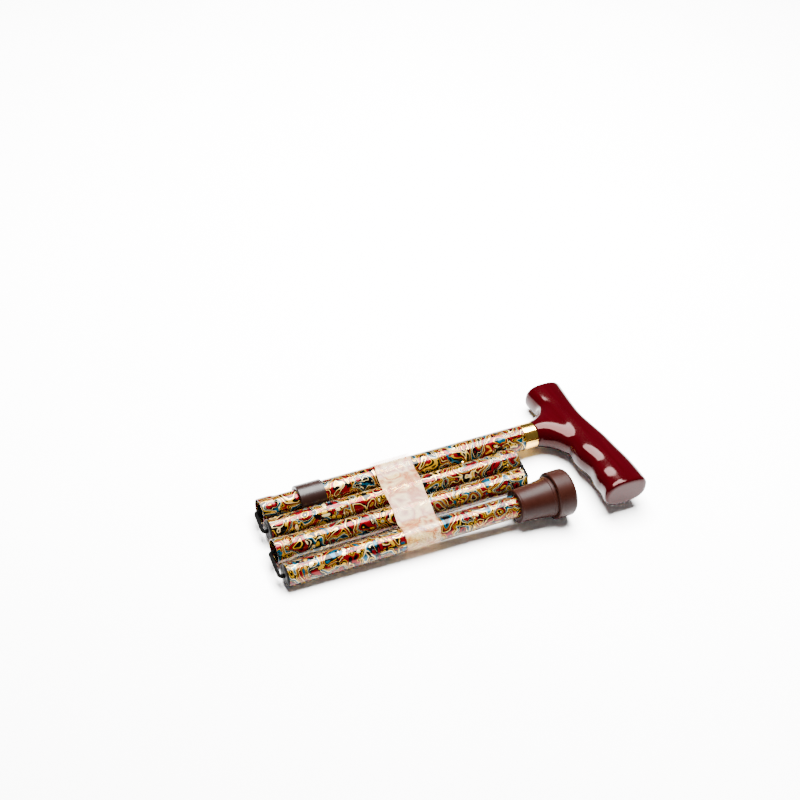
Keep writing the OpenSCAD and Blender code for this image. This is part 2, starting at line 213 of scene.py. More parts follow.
class Look:
    """A material under construction: its node tree and its shader."""

    def __init__(self, name, **sockets):
        self.material = bpy.data.materials.new(name)
        self.material.use_nodes = True
        self.tree = self.material.node_tree
        self.shader = self.tree.nodes["Principled BSDF"]
        self.place = self.add("ShaderNodeTexCoord").outputs["Object"]
        for socket, value in sockets.items():
            self.shader.inputs[socket.replace("_", " ")].default_value = value

    def add(self, kind, **values):
        """A node, with its settings by attribute and its inputs by name."""
        node = self.tree.nodes.new(kind)
        for key, value in values.items():
            if key in node.inputs:
                node.inputs[key].default_value = value
            else:
                setattr(node, key, value)
        return node

    def wire(self, source, target):
        self.tree.links.new(source, target)

    def stretched(self, scale):
        """Object coordinates, scaled differently along each axis."""
        node = self.add("ShaderNodeMapping")
        node.inputs["Scale"].default_value = scale
        self.wire(self.place, node.inputs["Vector"])
        return node.outputs["Vector"]

    def noise(self, scale, detail=2.0, rough=0.5, distortion=0.0, vector=None):
        """Noise over the object, or over other coordinates."""
        node = self.add("ShaderNodeTexNoise", Scale=scale, Detail=detail, Roughness=rough,
                        Distortion=distortion)
        self.wire(vector or self.place, node.inputs["Vector"])
        return node

    def cells(self, scale, vector=None):
        """Round cells over the object, or over other coordinates."""
        node = self.add("ShaderNodeTexVoronoi", Scale=scale)
        self.wire(vector or self.place, node.inputs["Vector"])
        return node

    def ramp(self, value, stops, kind="LINEAR"):
        """Colours at their places along a 0 to 1 value."""
        node = self.add("ShaderNodeValToRGB")
        ramp = node.color_ramp
        ramp.interpolation = kind
        while len(ramp.elements) < len(stops):
            ramp.elements.new(1.0)
        for element, (at, colour) in zip(ramp.elements, stops):
            element.position = at
            element.color = (*colour, 1.0)
        self.wire(value, node.inputs["Fac"])
        return node.outputs["Color"]

    def mix(self, factor, first, second, blend="MIX"):
        """Two colours mixed; factor and second may be plain values."""
        node = self.add("ShaderNodeMix", data_type="RGBA", blend_type=blend)
        sockets = (node.inputs[0], node.inputs[6], node.inputs[7])
        for socket, value in zip(sockets, (factor, first, second)):
            if isinstance(value, (int, float)):
                socket.default_value = value
            elif isinstance(value, tuple):
                socket.default_value = (*value, 1.0)
            else:
                self.wire(value, socket)
        return node.outputs[2]

    def span(self, value, low, high):
        """A 0 to 1 value stretched to run from low to high."""
        node = self.add("ShaderNodeMapRange")
        node.inputs["To Min"].default_value = low
        node.inputs["To Max"].default_value = high
        self.wire(value, node.inputs["Value"])
        return node.outputs["Result"]

    def colour(self, source):
        self.wire(source, self.shader.inputs["Base Color"])

    def roughness(self, source):
        self.wire(source, self.shader.inputs["Roughness"])

    def bump(self, height, strength, distance):
        node = self.add("ShaderNodeBump", Strength=strength, Distance=distance)
        self.wire(height, node.inputs["Height"])
        self.wire(node.outputs["Normal"], self.shader.inputs["Normal"])


GREY_LOW = (0.0, 0.0, 0.0)
GREY_HIGH = (1.0, 1.0, 1.0)


STAIN_STOPS = [(0.25, (0.0090, 0.0001, 0.0004)), (0.5, (0.0104, 0.0001, 0.0005)),
               (0.75, (0.0120, 0.0002, 0.0006))]


def lacquer_look():
    """Burgundy-stained wood under a thick gloss lacquer, with faint grain along the arms."""
    look = Look("burgundy_lacquer", IOR=1.24, Specular_IOR_Level=0.33,
                Specular_Tint=(1.0, 0.52, 0.48, 1.0))
    grain = look.noise(scale=1.0, detail=3.0, distortion=0.4, vector=look.stretched((260.0, 28.0, 260.0)))
    clouds = look.noise(scale=30.0, detail=2.0)
    stain = look.ramp(grain.outputs["Fac"], STAIN_STOPS)
    shade = look.ramp(clouds.outputs["Fac"], [(0.3, (0.90, 0.88, 0.90)), (0.7, GREY_HIGH)])
    look.colour(look.mix(1.0, stain, shade, "MULTIPLY"))
    look.roughness(look.span(grain.outputs["Fac"], low=0.06, high=0.09))
    ripple = look.noise(scale=45.0, detail=1.0)
    look.bump(ripple.outputs["Fac"], strength=0.02, distance=0.0004)
    return look.material


BLACK = (0.0006, 0.0005, 0.0005)
RED = (0.058, 0.0003, 0.0016)
GOLD = (0.215, 0.112, 0.0016)
CREAM = (0.350, 0.260, 0.110)
TEAL = (0.0006, 0.027, 0.046)
MARBLE_STOPS = [
    (0.000, BLACK), (0.272, TEAL), (0.306, BLACK), (0.332, GOLD), (0.340, RED), (0.376, BLACK),
    (0.400, GOLD), (0.412, CREAM), (0.420, BLACK), (0.444, RED), (0.472, GOLD), (0.479, BLACK),
    (0.502, GOLD), (0.514, BLACK), (0.529, CREAM), (0.536, TEAL), (0.556, BLACK), (0.576, CREAM),
    (0.582, BLACK), (0.602, RED), (0.634, BLACK), (0.652, GOLD), (0.662, BLACK), (0.681, CREAM),
    (0.688, BLACK), (0.710, RED), (0.755, TEAL)]
PEBBLE_STOPS = [(0.0, RED), (0.24, GOLD), (0.44, CREAM), (0.60, BLACK), (0.68, TEAL), (0.80, RED),
                (0.92, GOLD)]
PEBBLE_BODY = [(0.0, GREY_HIGH), (0.40, GREY_LOW)]
PEBBLE_RIM = [(0.0, GREY_HIGH), (0.52, GREY_LOW)]
PEBBLE_PATCH = [(0.0, GREY_LOW), (0.60, GREY_HIGH)]
DRIFT = 0.016


def drifted(look):
    """Object coordinates pulled about by a slow noise, so that bands run in swirls."""
    drift = look.noise(scale=48.0, detail=1.0)
    pull = look.add("ShaderNodeVectorMath", operation="SCALE")
    pull.inputs["Scale"].default_value = DRIFT
    look.wire(drift.outputs["Color"], pull.inputs[0])
    moved = look.add("ShaderNodeVectorMath", operation="ADD")
    look.wire(look.place, moved.inputs[0])
    look.wire(pull.outputs[0], moved.inputs[1])
    return moved.outputs[0]


def print_look():
    """Marbled ribbons and pebbles in black, red, gold, cream and teal under a clear gloss film."""
    look = Look("marbled_print", Metallic=0.55, Coat_Weight=0.3, Coat_Roughness=0.12, Coat_IOR=1.36,
                Specular_IOR_Level=0.0)
    swirl = drifted(look)
    ribbons = look.noise(scale=66.0, detail=1.7, rough=0.44, distortion=0.4, vector=swirl)
    marble = look.ramp(ribbons.outputs["Fac"], MARBLE_STOPS, "CONSTANT")
    pebbles = look.cells(235.0, vector=swirl)
    parts = look.add("ShaderNodeSeparateColor")
    look.wire(pebbles.outputs["Color"], parts.inputs["Color"])
    pebble_colour = look.ramp(parts.outputs["Red"], PEBBLE_STOPS, "CONSTANT")
    body = look.ramp(pebbles.outputs["Distance"], PEBBLE_BODY, "CONSTANT")
    rim = look.ramp(pebbles.outputs["Distance"], PEBBLE_RIM, "CONSTANT")
    pebble = look.mix(body, look.mix(rim, marble, BLACK), pebble_colour)
    where = look.noise(scale=58.0, detail=1.0)
    patch = look.ramp(where.outputs["Fac"], PEBBLE_PATCH, "CONSTANT")
    look.colour(look.mix(patch, marble, pebble))
    look.roughness(look.span(ribbons.outputs["Fac"], low=0.20, high=0.30))
    skin = look.noise(scale=240.0, detail=2.0)
    look.bump(skin.outputs["Fac"], strength=0.10, distance=0.0004)
    return look.material


def gold_look():
    """Polished yellow metal with a faint turned grain."""
    look = Look("polished_gold", Metallic=1.0)
    turned = look.noise(scale=1.0, detail=2.0, vector=look.stretched((5200.0, 60.0, 60.0)))
    tint = look.ramp(turned.outputs["Fac"], [(0.3, (0.62, 0.34, 0.050)), (0.7, (0.78, 0.48, 0.10))])
    look.colour(tint)
    look.roughness(look.span(turned.outputs["Fac"], low=0.07, high=0.17))
    look.bump(turned.outputs["Fac"], strength=0.05, distance=0.0001)
    return look.material


def moulded_look(name, dark, light, rough, shine=0.18, grain=1400.0, relief=0.12):
    """Moulded plastic or rubber: fine grain, cloudy colour and uneven sheen."""
    look = Look(name, Specular_IOR_Level=shine)
    clouds = look.noise(scale=130.0, detail=3.0, rough=0.6)
    look.colour(look.ramp(clouds.outputs["Fac"], [(0.3, dark), (0.7, light)]))
    look.roughness(look.span(clouds.outputs["Fac"], low=rough - 0.06, high=rough + 0.08))
    fine = look.noise(scale=grain, detail=2.0)
    look.bump(fine.outputs["Fac"], strength=relief, distance=0.0002)
    return look.material


def metal_look(name, dark, light, rough):
    """Bright metal with drawn lines along X."""
    look = Look(name, Metallic=1.0)
    drawn = look.noise(scale=1.0, detail=3.0, rough=0.6, vector=look.stretched((90.0, 2600.0, 2600.0)))
    look.colour(look.ramp(drawn.outputs["Fac"], [(0.3, dark), (0.7, light)]))
    look.roughness(look.span(drawn.outputs["Fac"], low=rough - 0.06, high=rough + 0.1))
    look.bump(drawn.outputs["Fac"], strength=0.06, distance=0.0001)
    return look.material


# Painted shade: each strand cell is lighter in its middle and darker where it meets the next strand.
BRAID_STRAND_SHADE_STOPS = [(0.1, (0.0016, 0.0014, 0.0014)), (0.6, (0.0005, 0.0005, 0.0005))]


def cord_look():
    """Black braid: small cells stand for the strands, each darker towards its edges as painted shade where
    strands meet.
    """
    look = Look("braided_cord", Specular_IOR_Level=0.02)
    weave = look.cells(1500.0)
    look.colour(look.ramp(weave.outputs["Distance"], BRAID_STRAND_SHADE_STOPS))
    look.roughness(look.span(weave.outputs["Distance"], low=0.55, high=0.8))
    look.bump(weave.outputs["Distance"], strength=0.5, distance=0.0003)
    return look.material


# Colour blotches in the print's palette: a painted show-through of the print beneath the sheet.
FROST_SHOWTHROUGH_STOPS = [(0.30, (0.26, 0.03, 0.01)), (0.41, (0.66, 0.48, 0.24)), (0.51, (0.34, 0.07, 0.02)),
               (0.61, (0.68, 0.50, 0.22)), (0.74, (0.46, 0.20, 0.01))]


def band_look():
    """Frosted soft sheet: milky and uneven, with red, cream and orange blotches painted in as the print
    beneath showing through.
    """
    look = Look("frosted_sheet", Alpha=0.19, Coat_Weight=0.3, Coat_Roughness=0.25, IOR=1.45)
    clouds = look.noise(scale=62.0, detail=2.0, rough=0.55, distortion=0.3)
    look.colour(look.ramp(clouds.outputs["Fac"], FROST_SHOWTHROUGH_STOPS))
    look.roughness(look.span(clouds.outputs["Fac"], low=0.32, high=0.5))
    frost = look.noise(scale=1100.0, detail=2.0)
    look.bump(frost.outputs["Fac"], strength=0.15, distance=0.0002)
    return look.material


LACQUER = lacquer_look()
PRINT = print_look()
GILT = gold_look()
COLLAR_BROWN = moulded_look("satin_brown_plastic", (0.0046, 0.0014, 0.0009), (0.0062, 0.0021, 0.0014),
                            0.32, shine=0.11)
RUBBER = moulded_look("brown_rubber", (0.0070, 0.0013, 0.0006), (0.0094, 0.0019, 0.0009),
                      0.40, shine=0.05, grain=900.0, relief=0.1)
BLACK_MOULD = moulded_look("black_plastic", (0.0007, 0.0006, 0.0006), (0.0016, 0.0014, 0.0014),
                           0.40, shine=0.025)
NYLON = moulded_look("natural_nylon", (0.34, 0.32, 0.28), (0.42, 0.40, 0.36), 0.45)
STEEL = metal_look("bright_steel", (0.48, 0.48, 0.50), (0.66, 0.66, 0.68), 0.3)
ALUMINIUM = metal_look("drawn_aluminium", (0.62, 0.63, 0.64), (0.78, 0.79, 0.80), 0.28)
BRAID = cord_look()
FROST = band_look()


def dress(obj, *materials):
    """The object shows these materials only."""
    obj.data.materials.clear()
    for material in materials:
        obj.data.materials.append(material)


def seat(obj, body, slot, nodes, *materials):
    """A new piece: its materials, the body it rides on, and the nodes it stands for. The slot argument is
    not used.
    """
    even_shading(obj)
    dress(obj, *materials)
    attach(obj, body)
    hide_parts(*nodes)
    return obj


# Places read from the frame

def middle_line(node):
    """The (y, z) of a node's middle line along X."""
    low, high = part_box(node)
    return ((low[1] + high[1]) / 2, (low[2] + high[2]) / 2)


def reach(node):
    """The lowest and highest x of a node."""
    low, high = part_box(node)
    return low[0], high[0]


def radius_of(node):
    """Half of a turned node's height."""
    low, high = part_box(node)
    return (high[2] - low[2]) / 2


UPPER_LINE = middle_line("upper_tube")
LINES = {2: middle_line("tube_2"), 3: middle_line("tube_3"), 4: middle_line("tube_4")}
TUBE_WALL = 1.1 * MM
BELL_WALL = 0.8 * MM
UPPER_WALL = 1.2 * MM
TUBE_R = radius_of("tube_4")
TUBE_BORE = TUBE_R - TUBE_WALL
BELL_R = radius_of("tube_2")
BELL_BORE = BELL_R - BELL_WALL
UPPER_R = radius_of("upper_tube")
UPPER_BORE = UPPER_R - UPPER_WALL
BELL_LEN = 10.0 * MM
FLARE_LEN = 5.0 * MM
FLARE_STEPS = 10
LIP = 0.35 * MM
LIP_TURN = 0.1 * MM
BORE_STEP = 0.2 * MM
BORE_LIP = 0.25 * MM
TUBE_SIDES = 96
TRIM_SIDES = 128
HOLE_R = 3.15 * MM
HOLE_DEPTH = 16 * MM
HOLE_PITCH = 16.0 * MM
HOLE_COUNT = 7


# Tubes

def eased(t):
    return t * t * (3 - 2 * t)


def belled_outline(plain_x, mouth_x):
    """Outside from the plain end to the bell mouth, then back along the inside."""
    way = 1.0 if mouth_x > plain_x else -1.0
    bell_x = mouth_x - way * BELL_LEN
    flare_x = bell_x - way * FLARE_LEN
    steps = [k / FLARE_STEPS for k in range(FLARE_STEPS + 1)]
    flare = [flare_x + way * FLARE_LEN * t for t in steps]
    outside = [(x, TUBE_R + (BELL_R - TUBE_R) * eased(t)) for x, t in zip(flare, steps)]
    inside = [(x, TUBE_BORE + (BELL_BORE - TUBE_BORE) * eased(t)) for x, t in zip(flare, steps)]
    film = [(plain_x + way * LIP, TUBE_R)] + outside + [(mouth_x - way * LIP, BELL_R)]
    mouth = [(mouth_x - way * LIP_TURN, BELL_R - LIP_TURN), (mouth_x, BELL_R - LIP),
             (mouth_x, BELL_BORE + BORE_STEP), (mouth_x - way * BORE_LIP, BELL_BORE)]
    plain = [(plain_x + way * BORE_LIP, TUBE_BORE), (plain_x, TUBE_BORE + BORE_STEP),
             (plain_x, TUBE_R - LIP), (plain_x + way * LIP_TURN, TUBE_R - LIP_TURN)]
    return film, mouth + inside[::-1] + plain


def printed_tube(name, film, bare, centre):
    """A turned tube whose film part is printed and whose lips and inside are bare metal."""
    tube = lathe(name, film + bare, centre, TUBE_SIDES)
    print_faces = (len(film) - 1) * TUBE_SIDES
    for polygon in tube.data.polygons:
        polygon.material_index = 0 if polygon.index < print_faces else 1
    return tube


def belled_tube(name, plain_x, mouth_x, centre):
    """A printed tube with a belled mouth."""
    film, bare = belled_outline(plain_x, mouth_x)
    return printed_tube(name, film, bare, centre)


def plain_tube(name, low, high, outer, bore, centre):
    """A printed tube with square ends."""
    film = [(low + LIP, outer), (high - LIP, outer)]
    far = [(high - LIP_TURN, outer - LIP_TURN), (high, outer - LIP), (high, bore + BORE_STEP),
           (high - BORE_LIP, bore)]
    near = [(low + BORE_LIP, bore), (low, bore + BORE_STEP), (low, outer - LIP),
            (low + LIP_TURN, outer - LIP_TURN)]
    return printed_tube(name, film, far + near, centre)


def drill_row(tube, count):
    """Round holes for the snap button through the front wall, from the button towards the mouth."""
    button_low, button_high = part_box("snap_button")
    hole_x = (button_low[0] + button_high[0]) / 2
    for i in range(count):
        centre = (hole_x - i * HOLE_PITCH, *UPPER_LINE)
        drill(tube, centre, (0, -1, 0), HOLE_R, HOLE_DEPTH)


def make_tubes():
    """The five printed tubes, with the button's hole in the inner one and a row in the upper one."""
    low, high = reach("inner_tube")
    inner = belled_tube("slider_tube", high, low, UPPER_LINE)
    dress(inner, PRINT, ALUMINIUM)
    drill_row(inner, 1)
    seat(inner, "slider", "printed_tube", ["inner_tube"], PRINT, ALUMINIUM)
    low, high = reach("upper_tube")
    upper = plain_tube("outer_tube", low, high, UPPER_R, UPPER_BORE, UPPER_LINE)
    dress(upper, PRINT, ALUMINIUM)
    drill_row(upper, HOLE_COUNT)
    seat(upper, "upper", "printed_tube", ["upper_tube"], PRINT, ALUMINIUM)
    low, high = reach("tube_2")
    second = belled_tube("second_tube", low, high, LINES[2])
    seat(second, "section_2", "printed_tube", ["tube_2"], PRINT, ALUMINIUM)
    low, high = reach("tube_3")
    third = belled_tube("third_tube", high, low, LINES[3])
    seat(third, "section_3", "printed_tube", ["tube_3"], PRINT, ALUMINIUM)
    low, high = reach("tube_4")
    fourth = plain_tube("tip_tube", low, high, TUBE_R, TUBE_BORE, LINES[4])
    seat(fourth, "section_4", "printed_tube", ["tube_4"], PRINT, ALUMINIUM)


# Handle

REMESH_SIZE = 0.9 * MM
FLOW_ACROSS = 34 * MM
FLOW_MIDDLE = 18 * MM
FLOW_ALONG = 16 * MM
FLOW_FADE = 1.4
FLOW_ROUNDS = 70
SKIN_FROM = 42 * MM
SKIN_ROUNDS = 5
PULL = 0.5


def off_line(points):
    """How far points lie from the upper tube's middle line."""
    return np.hypot(points[:, 1] - UPPER_LINE[0], points[:, 2] - UPPER_LINE[1])


def make_handle():
    """The handle with its neck flowing into the arms and every edge eased."""
    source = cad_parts["handle"]
    handle = bpy.data.objects.new("crutch_handle", source.data.copy())
    SCENE.collection.objects.link(handle)
    remesh = handle.modifiers.new("even", "REMESH")
    remesh.mode = "VOXEL"
    remesh.voxel_size = REMESH_SIZE
    finished(handle)
    handle.data.shade_smooth()
    neck_x = reach("handle")[0]

    def flow(points):
        across = np.abs(points[:, 1] - UPPER_LINE[0]) / FLOW_ACROSS
        along = np.abs(points[:, 0] - neck_x - FLOW_MIDDLE) / FLOW_ALONG
        near = np.clip(FLOW_FADE - np.maximum(across, along) * FLOW_FADE, 0, 1)
        return PULL * near * (off_line(points) > UPPER_R)

    def skin(points):
        return PULL * ((off_line(points) > UPPER_R) | (points[:, 0] > neck_x + SKIN_FROM))

    soften(handle, FLOW_ROUNDS, flow)
    soften(handle, SKIN_ROUNDS, skin)
    seat(handle, "upper", "lacquered_wood", ["handle"], LACQUER)


# Turned trim

RING_EDGE = 0.5 * MM
TRIM_STEPS = 5


def make_ring():
    """Gold-coloured ring between the handle and the upper tube."""
    low, high = reach("handle_ring")
    outer = radius_of("handle_ring")
    outline = [(low, UPPER_BORE), (low, outer), (high, outer), (high, UPPER_BORE)]
    ring = lathe("gold_ring", rounded(outline, RING_EDGE, TRIM_STEPS), UPPER_LINE, TRIM_SIDES)
    seat(ring, "upper", "gold_metal", ["handle_ring"], GILT)


COLLAR_EDGE = 1.1 * MM
COLLAR_PLAY = 0.25 * MM
COLLAR_FIT = 0.05 * MM
COLLAR_LIP = 1.5 * MM
COLLAR_FLOOR = 2 * MM


def make_collar():
    """Lock collar: a shell round its sleeve, with a lip on each tube."""
    low, high = reach("lock_collar")
    outer = radius_of("lock_collar")
    throat = TUBE_R + COLLAR_PLAY
    lip = UPPER_R + COLLAR_PLAY
    bore = radius_of("thread_sleeve") + COLLAR_FIT
    outline = [(low, throat), (low, outer), (high, outer), (high, lip), (high - COLLAR_LIP, lip),
               (high - COLLAR_LIP, bore), (low + COLLAR_FLOOR, bore), (low + COLLAR_FLOOR, throat)]
    collar = lathe("collar_shell", rounded(outline, COLLAR_EDGE, TRIM_STEPS), UPPER_LINE, TRIM_SIDES)
    seat(collar, "collar", "brown_plastic", ["lock_collar"], COLLAR_BROWN)


BUTTON_R = 3.0 * MM
BUTTON_FLANGE_R = 4.0 * MM
BUTTON_FLANGE = 1.0 * MM
BUTTON_DOME = 1.5 * MM
BUTTON_BACK_R = 0.6 * MM
BUTTON_SIDES = 48
DOME_STEPS = 8
DOME_SHARE = 0.94
BUTTON_SHARP = 50


def make_button():
    """Domed button: turned round its own axis, which points along -Y."""
    low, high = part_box("snap_button")
    centre_x = (low[0] + high[0]) / 2
    tip_y = low[1]
    base_y = high[1]
    flange_y = base_y - BUTTON_FLANGE
    outline = [(base_y, BUTTON_BACK_R), (base_y, BUTTON_FLANGE_R), (flange_y, BUTTON_FLANGE_R),
               (flange_y, BUTTON_R), (tip_y + BUTTON_DOME, BUTTON_R)]
    for k in range(1, DOME_STEPS + 1):
        turn = k / DOME_STEPS * math.pi / 2
        outline.append((tip_y + BUTTON_DOME * (1 - math.sin(turn)), BUTTON_R * math.cos(turn * DOME_SHARE)))
    verts = []
    for y, r in outline:
        for k in range(BUTTON_SIDES):
            turn = 2 * math.pi * k / BUTTON_SIDES
            verts.append((centre_x + r * math.cos(turn), y, UPPER_LINE[1] + r * math.sin(turn)))
    button = mesh_object("button_dome", verts, capped_faces(len(outline), BUTTON_SIDES))
    sharpen(button, BUTTON_SHARP)
    seat(button, "button", "gold_metal", ["snap_button"], GILT)


def make_spring():
    """Leaf spring in the inner tube, kept in its node's shape; in the cane one leg goes in with the button,
    the other stays on the wall.
    """
    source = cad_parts["button_spring"]
    spring = bpy.data.objects.new("leaf_spring", source.data.copy())
    SCENE.collection.objects.link(spring)
    dress(spring, STEEL)
    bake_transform(spring)
    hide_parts("button_spring")


PLUG_HOLE_R = 1.9 * MM
PLUG_FIT = 0.05 * MM
PLUG_EDGE = 0.5 * MM
PLUG_STEPS = 4
PLUG_SIDES = 72
PLUG_SHARP = 55
NOSE_STEPS = ((0.0, 1.5 * MM), (0.5 * MM, 0.45 * MM), (1.0 * MM, 0.0))


def make_plug(number, nose_x, tube_x, tail_x):
    """Guide plug: a rounded nose with a cord hole, a shoulder and a shank inside the tube."""
    way = 1.0 if tail_x > nose_x else -1.0
    shoulder = radius_of(f"guide_plug_{number}")
    shank = TUBE_BORE - PLUG_FIT
    nose = [(nose_x + way * back, shoulder - inset) for back, inset in NOSE_STEPS]
    outline = [(nose_x, PLUG_HOLE_R)] + nose
    outline += [(tube_x, shoulder), (tube_x, shank), (tail_x, shank), (tail_x, PLUG_HOLE_R)]
    plug = lathe(f"plug_{number}", rounded(outline, PLUG_EDGE, PLUG_STEPS), LINES[number], PLUG_SIDES)
    sharpen(plug, PLUG_SHARP)
    seat(plug, f"section_{number}", "black_plastic", [f"guide_plug_{number}"], BLACK_MOULD)


def make_plugs():
    """The plugs of tubes 2 and 4 look towards -X, the plug of tube 3 towards +X."""
    for number in (2, 4):
        low, high = reach(f"guide_plug_{number}")
        make_plug(number, low, reach(f"tube_{number}")[0], high)
    low, high = reach("guide_plug_3")
    make_plug(3, high, reach("tube_3")[1], low)


# Ferrule

FLANGE_LEN = 16 * MM
RIM_R = 13.5 * MM
NECK_R = 16.25 * MM
BOOT_FIT = 0.05 * MM
BOOT_DEPTH = 10 * MM
BOOT_MOUTH = 0.5 * MM
BOOT_LIP = 0.4 * MM
BOOT_CORE_R = 0.5 * MM
BOOT_EDGE = 0.45 * MM
BOOT_STEPS = 3
BOOT_SHARP = 60
CONE_START = 2.2 * MM
CONE_END = 3.2 * MM
CONE_STEPS = 8
CONE_INSET = 0.35 * MM
CONE_GROWTH = NECK_R - RIM_R - 0.25 * MM
CONE_HOLLOW = 0.35 * MM
GROOVE_DEPTH = 1.2 * MM
GROOVE_WIDTH = 1.2 * MM
GROOVE_DRAFT = 0.1 * MM
GROOVE_SHARES = (0.66, 0.4)
RIM_STEPS = ((0.0, 0.9 * MM), (0.6 * MM, 0.0), (1.8 * MM, 0.05 * MM))
BEAD_STEPS = ((3.0 * MM, 0.1 * MM), (1.2 * MM, 0.0), (1.0 * MM, 0.7 * MM), (0.1 * MM, 0.7 * MM))
FLANGE_TOP = ((0.0, 0.9 * MM), (0.9 * MM, 0.0))
FLANGE_SOLE = ((2.2 * MM, 0.0), (0.5 * MM, 1.0 * MM), (0.0, 1.8 * MM))


def cone_outline(low, step):
    """The slightly hollow cone between the rim and the bead."""
    first = low + CONE_START
    length = step - CONE_END - low - CONE_START
    cone = []
    for k in range(CONE_STEPS + 1):
        t = k / CONE_STEPS
        hollow = CONE_HOLLOW * math.sin(math.pi * t)
        cone.append((first + length * t, RIM_R - CONE_INSET + CONE_GROWTH * t - hollow))
    return cone


def sole_outline(high, base):
    """Two round grooves in the sole."""
    sole = []
    for share in GROOVE_SHARES:
        inner = share * base
        floor_x = high - GROOVE_DEPTH
        sole.append((high, inner + GROOVE_WIDTH))
        sole.append((floor_x, inner + GROOVE_WIDTH - GROOVE_DRAFT))
        sole.append((floor_x, inner + GROOVE_DRAFT))
        sole.append((high, inner))
    return sole


def make_ferrule():
    """Rubber boot: rolled rim, hollow cone, bead and groove above a wide flange, grooved sole."""
    low, high = reach("ferrule")
    step = high - FLANGE_LEN
    base = radius_of("ferrule")
    bore = TUBE_R + BOOT_FIT
    outline = [(low, bore + BOOT_MOUTH)]
    outline += [(low + along, RIM_R - inset) for along, inset in RIM_STEPS]
    outline += cone_outline(low, step)
    outline += [(step - along, NECK_R - inset) for along, inset in BEAD_STEPS]
    outline += [(step + along, base - inset) for along, inset in FLANGE_TOP]
    outline += [(high - along, base - inset) for along, inset in FLANGE_SOLE]
    outline += sole_outline(high, base)
    outline += [(high, BOOT_CORE_R), (high - BOOT_DEPTH, BOOT_CORE_R), (high - BOOT_DEPTH, bore),
                (low + BOOT_LIP, bore)]
    boot = lathe("rubber_boot", rounded(outline, BOOT_EDGE, BOOT_STEPS), LINES[4], TRIM_SIDES)
    sharpen(boot, BOOT_SHARP)
    seat(boot, "section_4", "brown_rubber", ["ferrule"], RUBBER)


# Cord loops

CORD_R = radius_of("cord_in_2")
FOLD_GAP = 0.75 * MM
LOOP_BEND = 2.5 * MM
STUB = 11.5 * MM
STUB_STEPS = 8
BEND_STEPS = 10
CORD_SIDES = 20


def cord_mesh(name, path):
    """A round cord through the points of a path that lies in one level plane."""
    verts = []
    last = len(path) - 1
    for i, point in enumerate(path):
        ahead = Vector(path[min(i + 1, last)]) - Vector(path[max(i - 1, 0)])
        side = Vector((-ahead.y, ahead.x, 0)).normalized()
        for k in range(CORD_SIDES):
            turn = 2 * math.pi * k / CORD_SIDES
            offset = side * math.cos(turn) + Vector((0, 0, 1)) * math.sin(turn)
            verts.append(Vector(point) + offset * CORD_R)
    return mesh_object(name, verts, capped_faces(len(path), CORD_SIDES))


def bend_points(half):
    """Level points (out, along) of a cord that leaves one tube, turns across and turns into the next."""
    first = []
    for k in range(BEND_STEPS + 1):
        turn = math.pi / 2 * k / BEND_STEPS
        first.append((FOLD_GAP + LOOP_BEND * math.sin(turn), half - LOOP_BEND * (1 - math.cos(turn))))
    return first + [(out, -along) for out, along in reversed(first)]


def make_loop(number, lines, mouth_x, nose_x, nose_len):
    """Elastic cord out of a bell mouth and into the nose of the tube beside it."""
    out = -1.0 if mouth_x < 0 else 1.0
    middle_y = (lines[0][0] + lines[1][0]) / 2
    half = (lines[0][0] - lines[1][0]) / 2
    height = lines[0][1]
    path = []
    for k in range(STUB_STEPS):
        path.append((mouth_x - out * STUB * (1 - k / STUB_STEPS), lines[0][0], height))
    for away, along in bend_points(half):
        skew = (nose_x - mouth_x) * (half - along) / (2 * half)
        path.append((mouth_x + out * away + skew, middle_y + along, height))
    path.append((nose_x - out * nose_len, lines[1][0], height))
    loop = cord_mesh(f"elastic_{number}", path)
    dress(loop, BRAID)
    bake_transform(loop)
    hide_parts(f"cord_loop_{number}")


def make_loops():
    """The cord where it shows at the three folds."""
    nose = reach("tube_2")[0] - reach("guide_plug_2")[0]
    make_loop(1, (UPPER_LINE, LINES[2]), reach("inner_tube")[0], reach("guide_plug_2")[0], nose)
    make_loop(2, (LINES[2], LINES[3]), reach("tube_2")[1], reach("guide_plug_3")[1], nose)
    make_loop(3, (LINES[3], LINES[4]), reach("tube_3")[0], reach("guide_plug_4")[0], nose)


# Holding band

BAND_WALL = 0.55 * MM
BAND_EASE = 0.3 * MM
BAND_SAG = 2.4 * MM
BAND_SKEW = 4.5 * MM
BAND_TRIM = 0.5
BAND_KEEP = 0.3
BAND_SOFT = 0.5 * MM
BAND_WIDE = radius_of("lock_collar") + BAND_EASE
BAND_ANCHOR_Y = UPPER_LINE[0] + BAND_WIDE
BAND_COLUMNS = 14
BAND_SHARP = 50
ARC_STEPS = 24
RUN_STEPS = 60
VALLEYS = 3
WAVES = 5
WAVE_DEPTH = 0.35 * MM


def soft_max(a, b, soft):
    """The larger of two values, with the change from one to the other eased."""
    return 0.5 * (a + b + math.hypot(a - b, soft))


def drawn_clear(y, radius):
    """Height that keeps the band off the upper tube once it has drawn together round that tube."""
    drawn = BAND_ANCHOR_Y - BAND_KEEP * (BAND_ANCHOR_Y - y)
    return math.sqrt(max(0.0, radius ** 2 - (drawn - UPPER_LINE[0]) ** 2))


